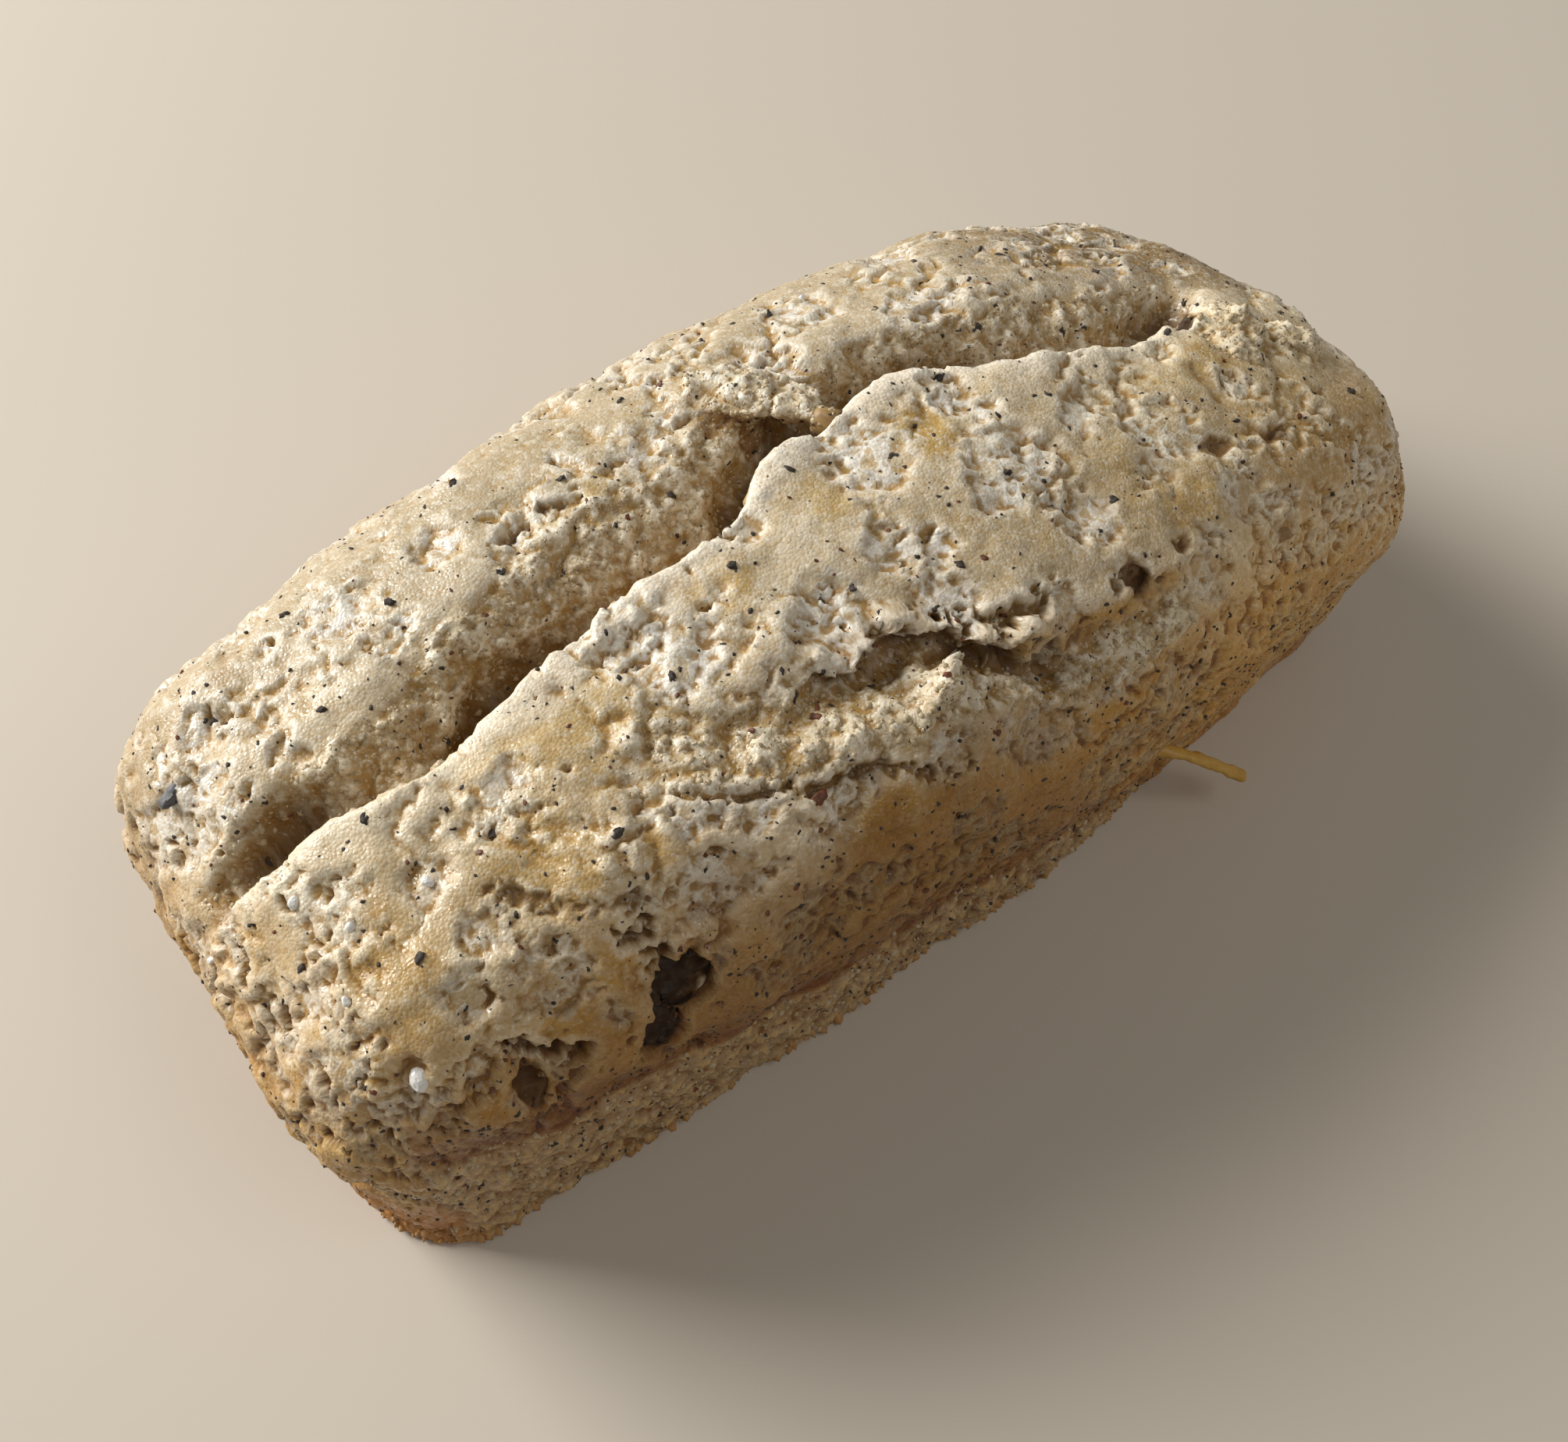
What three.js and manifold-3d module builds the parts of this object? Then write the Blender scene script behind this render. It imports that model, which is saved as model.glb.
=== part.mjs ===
// A small tea loaf, baked in a tin and turned out: tapered walls, round shoulders and a domed top
// that has split open along its length. One solid, because the loaf is whole and uncut.
// Millimetres, +Z up. +X runs along the loaf to its lower end, and the origin is under its middle.
import * as THREE from 'three';
import { ImprovedNoise } from 'three/addons/math/ImprovedNoise.js';
import { mergeVertices } from 'three/addons/utils/BufferGeometryUtils.js';
import Module from 'manifold-3d';

const wasm = await Module();
wasm.setup();

// Overall form
const LENGTH = 149.4;
const WIDTH = 68.4;
const HEIGHT = 49.4;
const WALL_TAPER = THREE.MathUtils.degToRad(4.8);
const CORNER_RADIUS = 12.5;
const LEAST_CORNER_RADIUS = 5;
const CORNER_EASE = 0.6;
const SHOULDER_REACH = 16.6;
const SHOULDER_RISE = 19.9;
const CROWN = 2.3;
const SIDE_BOW = 5.6;
const END_BOW = 1.9;
const NEAR_END_DROP = 10.9;
const FAR_END_DROP = 15.9;
const FAR_END_WIDENING = 0.45;

// The foot: a corner of the base that spread outwards as the loaf was turned out
const FOOT_FLARE = { x: 2.4, y: 1.7 };
const FOOT_HEIGHT = 12;
const FOOT_SPREAD = 0.28;

// Columns along the loaf, rows across its top and courses up its walls
const COLUMNS = 60;
const ROWS = 36;
const COURSES = 10;
const TOP_SHARE = 0.5;
const ROW_GATHER = 1.35;
const CUT_DEPTH = 4;

// The split: where its sharp lip runs, how deep it is, how far its torn slope reaches, along X
const SPLIT = [
  { x: -80, lip: -0.2, depth: 0.0, slope: 5 },
  { x: -70, lip: -0.4, depth: 1.6, slope: 5 },
  { x: -60, lip: -1.5, depth: 3.9, slope: 8 },
  { x: -50, lip: -4.0, depth: 5.6, slope: 11 },
  { x: -40, lip: -2.1, depth: 7.6, slope: 12 },
  { x: -25, lip: -1.0, depth: 8.8, slope: 15 },
  { x: -13, lip: -0.5, depth: 8.6, slope: 15 },
  { x: -7, lip: 3.4, depth: 7.6, slope: 12 },
  { x: 2, lip: 3.6, depth: 7.0, slope: 9 },
  { x: 11, lip: 5.2, depth: 6.0, slope: 8 },
  { x: 19, lip: 1.8, depth: 6.6, slope: 10 },
  { x: 30, lip: -1.5, depth: 6.4, slope: 12 },
  { x: 41, lip: -3.2, depth: 5.2, slope: 11 },
  { x: 50, lip: -0.6, depth: 3.0, slope: 7 },
  { x: 58, lip: 0.0, depth: 0.0, slope: 5 },
  { x: 80, lip: 0.0, depth: 0.0, slope: 5 },
];
const LIP_WALL = 1.6;
const SLOPE_STEEPENING = 1.6;
const LIP_CREST = 0.7;
const LIP_CREST_WIDTH = 5;

// A lesser tear on the long flank: its overhung upper edge, how far down it reaches, and its depth
const TEAR = [
  { x: -80, edge: -11.0, reach: 5, depth: 0.0 },
  { x: -40, edge: -11.0, reach: 5, depth: 0.0 },
  { x: -33, edge: -11.5, reach: 7.5, depth: 1.0 },
  { x: -24, edge: -15.5, reach: 9, depth: 1.6 },
  { x: -14, edge: -17.2, reach: 10.5, depth: 2.3 },
  { x: -6, edge: -18.2, reach: 10, depth: 2.9 },
  { x: 0, edge: -23.5, reach: 6, depth: 3.0 },
  { x: 9, edge: -26.3, reach: 5, depth: 2.8 },
  { x: 18, edge: -26.7, reach: 4.5, depth: 2.2 },
  { x: 26, edge: -26.0, reach: 4, depth: 0.0 },
  { x: 80, edge: -26.0, reach: 4, depth: 0.0 },
];
const TEAR_WALL = 2.4;

// Swellings of the crust, or sunken places where the height is below nought: centre, radius and height
const SWELLINGS = [
  { x: 27, y: 13, radius: 8, height: 1.0 },
  { x: 66, y: -5, radius: 14, height: 2.2 },
  { x: 58, y: 21, radius: 11, height: -1.4 },
  { x: -58, y: -14, radius: 11, height: 0.6 },
  { x: -68, y: 22, radius: 10, height: 0.8 },
  { x: 5, y: -6, radius: 14, height: 0.7 },
];

// Hollows burst in the crust: centre, half sizes, and how far each is turned about +Z
const HOLLOWS = [
  { x: -40.4, y: -31.4, z: 33.8, along: 2.6, across: 3.6, deep: 2.5, turn: -0.3 },
  { x: -43.4, y: -32.6, z: 29.6, along: 1.9, across: 3.0, deep: 2.9, turn: 0.2 },
  { x: -55.6, y: -29.8, z: 31.6, along: 0.9, across: 1.8, deep: 3.0, turn: 0 },
  { x: -52.4, y: -30.0, z: 33.5, along: 1.8, across: 1.6, deep: 0.8, turn: 0.2 },
  { x: -63.7, y: -24.0, z: 36.6, along: 1.3, across: 1.5, deep: 1.0, turn: 0 },
  { x: 24, y: -25.6, z: 44.6, along: 1.4, across: 1.5, deep: 1.8, turn: 0.3 },
  { x: 17.2, y: -26.2, z: 43.2, along: 1.1, across: 1.9, deep: 2.0, turn: 0.2 },
  { x: 38.6, y: -29.1, z: 37.6, along: 1.2, across: 1.3, deep: 1.1, turn: 0 },
  { x: 36.1, y: -18.3, z: 44.4, along: 2, across: 1.0, deep: 1.8, turn: 0.4 },
  { x: 44.7, y: -19.8, z: 42.4, along: 2.2, across: 0.8, deep: 1.6, turn: -0.4 },
  { x: 47.5, y: -1.4, z: 42.6, along: 3, across: 2, deep: 3.6, turn: 0.6 },
  { x: 42.2, y: -14, z: 44.3, along: 1.5, across: 6.5, deep: 2.2, turn: 0.1 },
];

// Crags that stand out of the torn faces: a flap of crust over the split, and lumps of crumb
const CRAGS = [
  { x: -0.8, y: 11.2, z: 48.0, along: 7.6, across: 3.6, deep: 1.7, turn: -1.0 },
  { x: -7, y: -24.4, z: 44.4, along: 4.6, across: 1.5, deep: 2.2, turn: 0.48 },
  { x: 51, y: -7, z: 41.0, along: 5.0, across: 3.8, deep: 2.2, turn: 0.6 },
  { x: 58, y: -10.5, z: 38.5, along: 3.8, across: 3.0, deep: 2.0, turn: 0.2 },
];
const RAGGEDNESS = 0.22;
const RAGGED_GRAIN = 2;
const LARGE_EGG = 4;

// The crease on the long wall, above a strip where the crust tore away: its height at both ends
const CREASE = {
  fromX: -66,
  fromZ: 25,
  toX: 34,
  toZ: 3,
  runIn: 6,
  runOut: 20,
  width: 2.2,
  depth: 0.9,
  strip: 0.5,
};

// Where the crust counts as top or as long wall, by how its outward direction leans
const TOP_LEAN = { from: 0.2, to: 0.6 };
const WALL_LEAN = { from: 0.3, to: 0.8 };

// Uneven crust: broad lumps and smaller ones
const LUMP_SHIFT = 7.3;
const LUMPS = [
  { size: 17, height: 0.8 },
  { size: 7, height: 0.5 },
];

// Flakes of tea leaf that stand out of the crust, the largest of many, spread by a rule
const FLAKES = 44;
const FLAKE = { along: 0.85, across: 0.6, high: 0.45 };
const FLAKE_STEP = { x: 0.7548776662, y: 0.5698402910 };
const FLAKE_MARGIN = 6;
const BIG_LEAF = { x: -67, y: 13.1, along: 1.9, across: 1.3, high: 0.6, turn: 0.3 };

const CRUST_COLOUR = 0xc4a06c;

const halfLength = LENGTH / 2;
const halfWidth = WIDTH / 2;
const wallHeight = HEIGHT - CROWN - SHOULDER_RISE;
const flatLength = halfLength - SHOULDER_REACH;
const flatWidth = halfWidth - SHOULDER_REACH;
const noise = new ImprovedNoise();
const clamp = THREE.MathUtils.clamp;
const smoothstep = THREE.MathUtils.smoothstep;
const lerp = THREE.MathUtils.lerp;

const splitAlong = new THREE.CubicInterpolant(
  SPLIT.map((station) => station.x),
  SPLIT.flatMap((station) => [station.lip, station.depth, station.slope]),
  3,
);

const tearAlong = new THREE.CubicInterpolant(
  TEAR.map((station) => station.x),
  TEAR.flatMap((station) => [station.edge, station.depth, station.reach]),
  3,
);

function splitAt(x) {
  const [lip, depth, slope] = splitAlong.evaluate(clamp(x, -halfLength, halfLength));
  return { lip, depth: Math.max(depth, 0), slope };
}

// A point on a rounded rectangle, from its place on the sharp rectangle's edge
function roundedCorner(x, y, a, b, radius) {
  const coreX = clamp(x, radius - a, a - radius);
  const coreY = clamp(y, radius - b, b - radius);
  const away = new THREE.Vector2(x - coreX, y - coreY).setLength(radius);
  return new THREE.Vector2(coreX + away.x, coreY + away.y);
}

// Shares the grid lines out between the shoulder arcs and the top between them
const SHOULDER_ARC = (Math.PI / 4) * (SHOULDER_REACH + SHOULDER_RISE);
function shareOut(t, flat, gathered) {
  const turn = flat / (flat + SHOULDER_ARC);
  const size = Math.abs(t);
  const share = size < turn
    ? TOP_SHARE * (size / turn) ** gathered
    : lerp(TOP_SHARE, 1, (size - turn) / (1 - turn));
  return Math.sign(t) * share;
}

// The plain loaf: each point of a cube's skin, from -1 to 1 each way, put in its place
function plainLoaf(u, v, w) {
  let inset = 0;
  let z = 0;
  let a = halfLength;
  let b = halfWidth;
  let radius = CORNER_RADIUS;
  let ring = 1;
  if (w < 1) {
    z = lerp(-CUT_DEPTH, wallHeight, (w + 1) / 2);
    inset = (wallHeight - z) * Math.tan(WALL_TAPER);
    a -= inset;
    b -= inset;
    radius = Math.max(radius - CORNER_EASE * inset, LEAST_CORNER_RADIUS);
  } else {
    u = shareOut(u, flatLength, 1);
    v = shareOut(v, flatWidth, ROW_GATHER);
    ring = Math.max(Math.abs(u), Math.abs(v));
    const arc = clamp((1 - ring) / (1 - TOP_SHARE), 0, 1) * Math.PI / 2;
    const scale = Math.min(ring / TOP_SHARE, 1);
    inset = SHOULDER_REACH * (1 - Math.cos(arc));
    z = wallHeight + SHOULDER_RISE * Math.sin(arc) + CROWN * (1 - scale ** 2);
    a = (halfLength - inset) * scale;
    b = (halfWidth - inset) * scale;
    radius = Math.max(CORNER_RADIUS - CORNER_EASE * inset, LEAST_CORNER_RADIUS) * scale;
  }
  const plan = ring > 0 ? roundedCorner((u / ring) * a, (v / ring) * b, a, b, radius) : { x: 0, y: 0 };
  const along = plan.x / halfLength;
  const across = plan.y / halfWidth;
  const drop = (along < 0 ? NEAR_END_DROP : FAR_END_DROP) * along ** 2;
  const y = across * (halfWidth - SIDE_BOW * along ** 2 + FAR_END_WIDENING * along);
  const x = along * (halfLength - END_BOW * across ** 2);
  const foot = Math.exp(-((along + 1) ** 2 + (across + 1) ** 2) / FOOT_SPREAD ** 2)
    * clamp(1 - z / FOOT_HEIGHT, 0, 1);
  return new THREE.Vector3(
    x - FOOT_FLARE.x * foot,
    y - FOOT_FLARE.y * foot,
    z * (1 - drop / HEIGHT),
  );
}

// Rows on the top bend sideways to follow the lip of the split
function followSplit(point) {
  const fade = 1 - smoothstep(Math.abs(point.y), 0, flatWidth + SHOULDER_REACH / 2);
  const high = smoothstep(point.z, wallHeight / 2, wallHeight);
  point.y += splitAt(point.x).lip * fade * high;
}

// How far the split lowers the top: a steep wall under the lip, then a long torn slope
function splitDrop(x, y) {
  const { lip, depth, slope } = splitAt(x);
  const past = y - lip;
  const wall = smoothstep(past, 0, LIP_WALL);
  const torn = (1 - clamp((past - LIP_WALL) / (slope - LIP_WALL), 0, 1)) ** SLOPE_STEEPENING;
  const crest = Math.exp(-((past / LIP_CREST_WIDTH) ** 2)) * (past < 0 ? 1 : 1 - wall);
  return depth * (wall * torn) - LIP_CREST * crest * Math.min(depth, 1);
}

// How far the flank's tear sinks below the crust, steepest under its upper edge
function tearDrop(x, y) {
  const [edge, depth, reach] = tearAlong.evaluate(clamp(x, -halfLength, halfLength));
  const past = edge - y;
  return Math.max(depth, 0) * smoothstep(past, 0, TEAR_WALL) * (1 - smoothstep(past, TEAR_WALL, reach));
}

function swelling(x, y) {
  return SWELLINGS.reduce((sum, { x: cx, y: cy, radius, height }) => (
    sum + height * Math.exp(-(((x - cx) ** 2 + (y - cy) ** 2) / radius ** 2))
  ), 0);
}

function crease(point) {
  const t = clamp((point.x - CREASE.fromX) / (CREASE.toX - CREASE.fromX), 0, 1);
  const level = lerp(CREASE.fromZ, CREASE.toZ, t);
  const fade = smoothstep(point.x, CREASE.fromX - CREASE.runIn, CREASE.fromX)
    * (1 - smoothstep(point.x, CREASE.toX - CREASE.runOut, CREASE.toX));
  const groove = Math.exp(-(((point.z - level) / CREASE.width) ** 2));
  const strip = 1 - smoothstep(point.z, level - CREASE.width, level);
  return fade * (CREASE.depth * groove - CREASE.strip * strip);
}

function lumps(point) {
  return LUMPS.reduce((sum, { size, height }, k) => (
    sum + height * noise.noise(point.x / size + k * LUMP_SHIFT, point.y / size, point.z / size)
  ), 0);
}

// The crust with its unevenness, split and crease, as one closed skin
function loafSkin() {
  const box = new THREE.BoxGeometry(2, 2, 2, COLUMNS, ROWS, COURSES);
  box.deleteAttribute('normal');
  box.deleteAttribute('uv');
  const skin = mergeVertices(box);
  const place = skin.attributes.position;
  const point = new THREE.Vector3();
  for (let i = 0; i < place.count; i += 1) {
    point.copy(plainLoaf(place.getX(i), place.getY(i), place.getZ(i)));
    followSplit(point);
    place.setXYZ(i, point.x, point.y, point.z);
  }
  skin.computeVertexNormals();
  const outward = new THREE.Vector3();
  for (let i = 0; i < place.count; i += 1) {
    point.fromBufferAttribute(place, i);
    outward.fromBufferAttribute(skin.attributes.normal, i);
    const top = smoothstep(outward.z, TOP_LEAN.from, TOP_LEAN.to);
    const rise = lumps(point) + top * (swelling(point.x, point.y) - tearDrop(point.x, point.y));
    const longWall = (1 - top) * smoothstep(-outward.y, WALL_LEAN.from, WALL_LEAN.to);
    const drop = top * splitDrop(point.x, point.y);
    point.addScaledVector(outward, rise - longWall * crease(point));
    point.z -= drop;
    place.setXYZ(i, point.x, point.y, point.z);
  }
  skin.deleteAttribute('normal');
  return skin;
}

function solid(geometry) {
  return new wasm.Manifold(new wasm.Mesh({
    numProp: 3,
    vertProperties: new Float32Array(geometry.attributes.position.array),
    triVerts: new Uint32Array(geometry.index.array),
  }));
}

function geometryOf(body) {
  const { vertProperties, triVerts } = body.getMesh();
  const geometry = new THREE.BufferGeometry();
  geometry.setAttribute('position', new THREE.BufferAttribute(vertProperties, 3));
  geometry.setIndex(new THREE.BufferAttribute(triVerts, 1));
  geometry.computeVertexNormals();
  return geometry;
}

// A rough egg, turned and put in place, that is scooped out of the crust or stands on it
function roughEgg({ x, y, z, along, across, deep, turn }) {
  const ball = new THREE.IcosahedronGeometry(1, Math.max(along, across) > LARGE_EGG ? 2 : 1);
  ball.deleteAttribute('normal');
  ball.deleteAttribute('uv');
  const egg = mergeVertices(ball);
  const place = egg.attributes.position;
  const point = new THREE.Vector3();
  for (let i = 0; i < place.count; i += 1) {
    point.fromBufferAttribute(place, i);
    const grain = point.clone().multiplyScalar(RAGGED_GRAIN);
    const ragged = noise.noise(grain.x + x, grain.y + y, grain.z + z);
    point.multiplyScalar(1 + RAGGEDNESS * ragged);
    place.setXYZ(i, point.x, point.y, point.z);
  }
  egg.scale(along, across, deep);
  egg.rotateZ(turn);
  egg.translate(x, y, z);
  return solid(egg);
}

// A flake lies on the crust, found by looking straight down at its place in plan
function flakeBody(crustMesh, { x, y, along, across, high, turn }) {
  const down = new THREE.Raycaster(new THREE.Vector3(x, y, 2 * HEIGHT), new THREE.Vector3(0, 0, -1));
  const hit = down.intersectObject(crustMesh)[0];
  const grain = new THREE.IcosahedronGeometry(1, 0);
  grain.deleteAttribute('normal');
  grain.deleteAttribute('uv');
  const flake = mergeVertices(grain);
  flake.scale(along, across, high);
  flake.rotateZ(turn);
  const lay = new THREE.Quaternion().setFromUnitVectors(new THREE.Vector3(0, 0, 1), hit.face.normal);
  flake.applyQuaternion(lay);
  flake.translate(hit.point.x, hit.point.y, hit.point.z);
  return solid(flake);
}

function flakePlaces() {
  const places = [BIG_LEAF];
  for (let i = 1; i <= FLAKES; i += 1) {
    const x = (LENGTH - 2 * FLAKE_MARGIN) * ((i * FLAKE_STEP.x) % 1 - 0.5);
    const y = (WIDTH - 2 * SIDE_BOW - 2 * FLAKE_MARGIN) * ((i * FLAKE_STEP.y) % 1 - 0.5);
    places.push({ ...FLAKE, x, y, turn: i });
  }
  return places;
}

function flatUnderside() {
  const block = new THREE.BoxGeometry(2 * LENGTH, 2 * LENGTH, 4 * CUT_DEPTH);
  block.deleteAttribute('normal');
  block.deleteAttribute('uv');
  block.translate(0, 0, -2 * CUT_DEPTH);
  return solid(mergeVertices(block));
}

// The origin is moved to the middle of the base, as the uneven crust shifts it
function centred(geometry) {
  geometry.computeBoundingBox();
  const middle = geometry.boundingBox.getCenter(new THREE.Vector3());
  geometry.translate(-middle.x, -middle.y, 0);
  return geometry;
}

const skin = centred(loafSkin());
const skinMesh = new THREE.Mesh(skin);
let body = solid(skin);
for (const hollow of HOLLOWS) {
  body = body.subtract(roughEgg(hollow));
}
for (const crag of CRAGS) {
  body = body.add(roughEgg(crag));
}
for (const flake of flakePlaces()) {
  body = body.add(flakeBody(skinMesh, flake));
}
body = body.subtract(flatUnderside());

const crust = new THREE.MeshStandardMaterial({ color: CRUST_COLOUR, roughness: 0.85, metalness: 0 });
const loaf = new THREE.Mesh(geometryOf(body), crust);
loaf.name = 'loaf';

const teaLoaf = new THREE.Group();
teaLoaf.add(loaf);

export default teaLoaf;
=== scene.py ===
import math

import bmesh
import bpy
import numpy as np
from mathutils import Matrix, Vector


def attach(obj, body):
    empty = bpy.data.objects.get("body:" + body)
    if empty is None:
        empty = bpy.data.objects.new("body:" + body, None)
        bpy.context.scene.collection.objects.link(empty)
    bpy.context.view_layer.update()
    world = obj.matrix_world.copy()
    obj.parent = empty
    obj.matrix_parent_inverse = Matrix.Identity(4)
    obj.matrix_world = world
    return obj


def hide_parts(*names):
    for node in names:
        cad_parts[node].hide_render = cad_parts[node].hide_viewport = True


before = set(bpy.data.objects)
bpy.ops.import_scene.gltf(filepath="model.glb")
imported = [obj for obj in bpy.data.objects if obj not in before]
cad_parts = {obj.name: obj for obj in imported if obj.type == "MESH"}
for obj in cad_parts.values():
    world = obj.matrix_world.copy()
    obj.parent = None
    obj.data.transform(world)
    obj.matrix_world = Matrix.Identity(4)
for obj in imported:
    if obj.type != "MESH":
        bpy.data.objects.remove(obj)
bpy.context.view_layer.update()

# The loaf: a small tea cake baked in a tin, a thin golden crust over pale moist crumb.
# Its top split along the middle as it rose, and its flank tore, so both show grainy crumb.
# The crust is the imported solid's own skin, made fine enough to carry bubbles, pits and grains.
MM = 0.001
SKIN_STEP = 0.36
SKIN_TRIANGLES = 190000

# Along the loaf: where the lip of the split lies, how deep it is, how far its torn slope reaches,
# and how far a dark gap stays open under the lip
SPLIT = np.array([
    (-90, -0.2, 0.0, 5, 0.3), (-80, -0.2, 0.0, 5, 0.4), (-70, -0.4, 1.6, 5, 0.6), (-60, -1.5, 3.9, 8, 0.95),
    (-50, -4.0, 5.6, 11, 0.15), (-40, -2.1, 7.6, 12, 1.0), (-25, -1.0, 8.8, 15, 0.5), (-13, -0.5, 8.6, 15, 0.4),
    (-7, 3.4, 7.6, 12, 0.5), (2, 3.6, 7.0, 9, 1.0), (11, 5.2, 6.0, 8, 0.4), (19, 1.8, 6.6, 10, 0.8),
    (30, -1.5, 6.4, 12, 0.45), (41, -3.2, 5.2, 11, 0.45), (50, -0.6, 3.0, 7, 0.7), (58, 0.0, 0.0, 5, 0.3),
    (80, 0.0, 0.0, 5, 0.2), (90, 0.0, 0.0, 5, 0.2),
])

# Along the loaf: the upper edge of the flank's tear, its depth, how far down it reaches
TEAR = np.array([
    (-90, -11.0, 0.0, 5), (-80, -11.0, 0.0, 5), (-40, -11.0, 0.0, 5), (-33, -11.5, 1.0, 7.5),
    (-24, -15.5, 1.6, 9), (-14, -17.2, 2.3, 10.5), (-6, -18.2, 2.9, 10), (0, -23.5, 3.0, 6),
    (9, -26.3, 2.8, 5), (18, -26.7, 2.2, 4.5), (26, -26.0, 0.0, 4), (80, -26.0, 0.0, 4),
    (90, -26.0, 0.0, 4),
])

# Burst hollows: centre, half sizes along X, Y and Z, and how dark the inside is painted as shade, which also
# sets how deep it sinks
HOLLOWS = np.array([
    (-40.4, -31.4, 33.8, 2.6, 3.6, 2.5, 1.0), (-43.4, -32.6, 29.6, 1.9, 3.0, 2.9, 1.0),
    (-55.6, -29.8, 31.6, 0.9, 1.8, 3.0, 0.7), (-52.4, -30.0, 33.5, 1.8, 1.6, 0.8, 0.7),
    (-63.7, -24.0, 36.6, 1.3, 1.5, 1.0, 0.5), (24, -25.6, 44.6, 1.4, 1.5, 1.8, 0.8),
    (17.2, -26.2, 43.2, 1.1, 1.9, 2.0, 0.7), (38.6, -29.1, 37.6, 1.2, 1.3, 1.1, 0.6),
    (36.1, -18.3, 44.4, 2, 1.0, 1.8, 0.6), (44.7, -19.8, 42.4, 2.2, 0.8, 1.6, 0.6),
    (47.5, -1.4, 42.6, 3, 2, 3.6, 0.8), (-5.0, 12.0, 46.4, 2.2, 2.0, 1.4, 0.35),
    (-2.6, 8.0, 46.2, 2.0, 1.8, 1.6, 0.5),
])

# Crags of torn crumb, among them the flap over the split: centre, and half sizes along X, Y and Z
CRAGS = np.array([
    (-7, -24.4, 44.4, 4.4, 3.2, 2.8), (51, -7, 41.0, 5.4, 4.6, 3), (58, -10.5, 38.5, 4.4, 3.6, 3),
    (-3.2, 15, 48, 3.4, 3.0, 2.4), (-0.8, 11.2, 48.2, 3.4, 3.4, 2.4), (1.6, 7.5, 48.6, 3.2, 3.0, 2.4),
])

# Cracks in the crust: half width, depth, and the line that each follows
CRACKS = [
    (1.6, 2.0, [(-42.4, -25.6, 40.4), (-41.6, -27.8, 38.3), (-41.8, -29.4, 36.0), (-41.9, -30.8, 33.0),
                (-43.1, -31.6, 30.2), (-44.7, -31.6, 29.0)]),
    (0.9, 0.6, [(-50.4, -16.0, 42.4), (-48.4, -18.4, 42.5), (-46.9, -20.5, 42.3), (-44.8, -22.2, 42.0),
                (-42.4, -23.5, 41.8), (-39.8, -24.7, 41.5)]),
    (0.9, 1.1, [(-28.8, -22.7, 44.4), (-25.4, -24.0, 44.2), (-22.7, -25.6, 43.5), (-19.5, -26.1, 43.4),
                (-16.3, -26.9, 43.1), (-12.6, -29.1, 41.3), (-8.0, -30.6, 39.5)]),
    (1.4, 1.8, [(-9.2, -16.9, 47.2), (-6.2, -18.2, 47.0), (-3.3, -19.9, 46.9), (-1.6, -22.1, 46.4),
                (1.6, -22.9, 46.1), (5.3, -22.9, 46.1)]),
    (1.2, 1.5, [(-4.2, -24.1, 45.5), (-0.3, -25.4, 44.9), (3.7, -26.5, 44.1)]),
    (0.9, 0.9, [(-31.9, 12.4, 46.3), (-26.2, 13.0, 46.9), (-21.2, 12.7, 47.4), (-16.9, 12.3, 47.8)]),
    (1.3, 1.5, [(-55.6, -26.8, 35.6), (-54.5, -28.2, 34.0), (-52.0, -28.9, 33.7), (-50.1, -29.5, 33.2)]),
    (1.0, 1.2, [(14.0, -25.3, 44.4), (17.5, -26.0, 43.7), (19.7, -27.0, 42.6)]),
    (1.1, 1.1, [(-1.3, 16.4, 47.5), (1.3, 16.0, 47.6), (3.8, 15.5, 47.7)]),
]

# Patches of foam that rose through the crust, of whole and burst bubbles: centre and half width
FOAM = np.array([
    (-25.5, -9.3, 47.5, 4.1), (-12.2, -15.1, 47.4, 4.3), (-2.1, -19.1, 47.0, 3.2), (1.8, -2.4, 49.3, 4.4),
    (13.5, -10.3, 48.1, 4.9), (31.6, -14.0, 45.2, 4.7), (34.9, -23.5, 42.4, 3.5), (-9.2, -28.8, 41.8, 2.5),
    (0.4, -31.0, 39.2, 4.3), (-34.0, -26.8, 40.9, 3.6), (-52.7, -19.0, 41.6, 2.3), (-53.9, -12.3, 41.9, 2.2),
    (-49.5, -24.7, 39.5, 2.2), (-56.3, -22.1, 39.5, 2.3), (-34.0, -15.5, 45.3, 2.0), (-36.4, -19.1, 44.4, 1.4),
    (-63.6, 1.3, 38.8, 2.6), (-27.8, 12.5, 46.8, 2.3), (-13.0, 13.7, 47.8, 2.9), (-2.9, -11.7, 48.4, 2.6),
    (-70.3, -11.5, 32.5, 2.7), (-65.3, -24.6, 33.0, 2.3), (-54.7, -29.4, 31.6, 2.9), (-26.9, -32.3, 33.6, 4.2),
    (-8.2, -33.5, 33.1, 3.2), (10.9, -31.0, 39.0, 3.2), (-47.0, 15.2, 43.4, 2.9), (-35.3, 16.1, 45.1, 2.5),
    (21.2, 11.0, 47.3, 4.1), (16.2, -19.0, 46.4, 3.0), (25.8, -28.9, 40.0, 3.1), (-62.6, 14.9, 39.3, 2.4),
    (38.0, -29.4, 36.7, 2.9),
])

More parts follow.
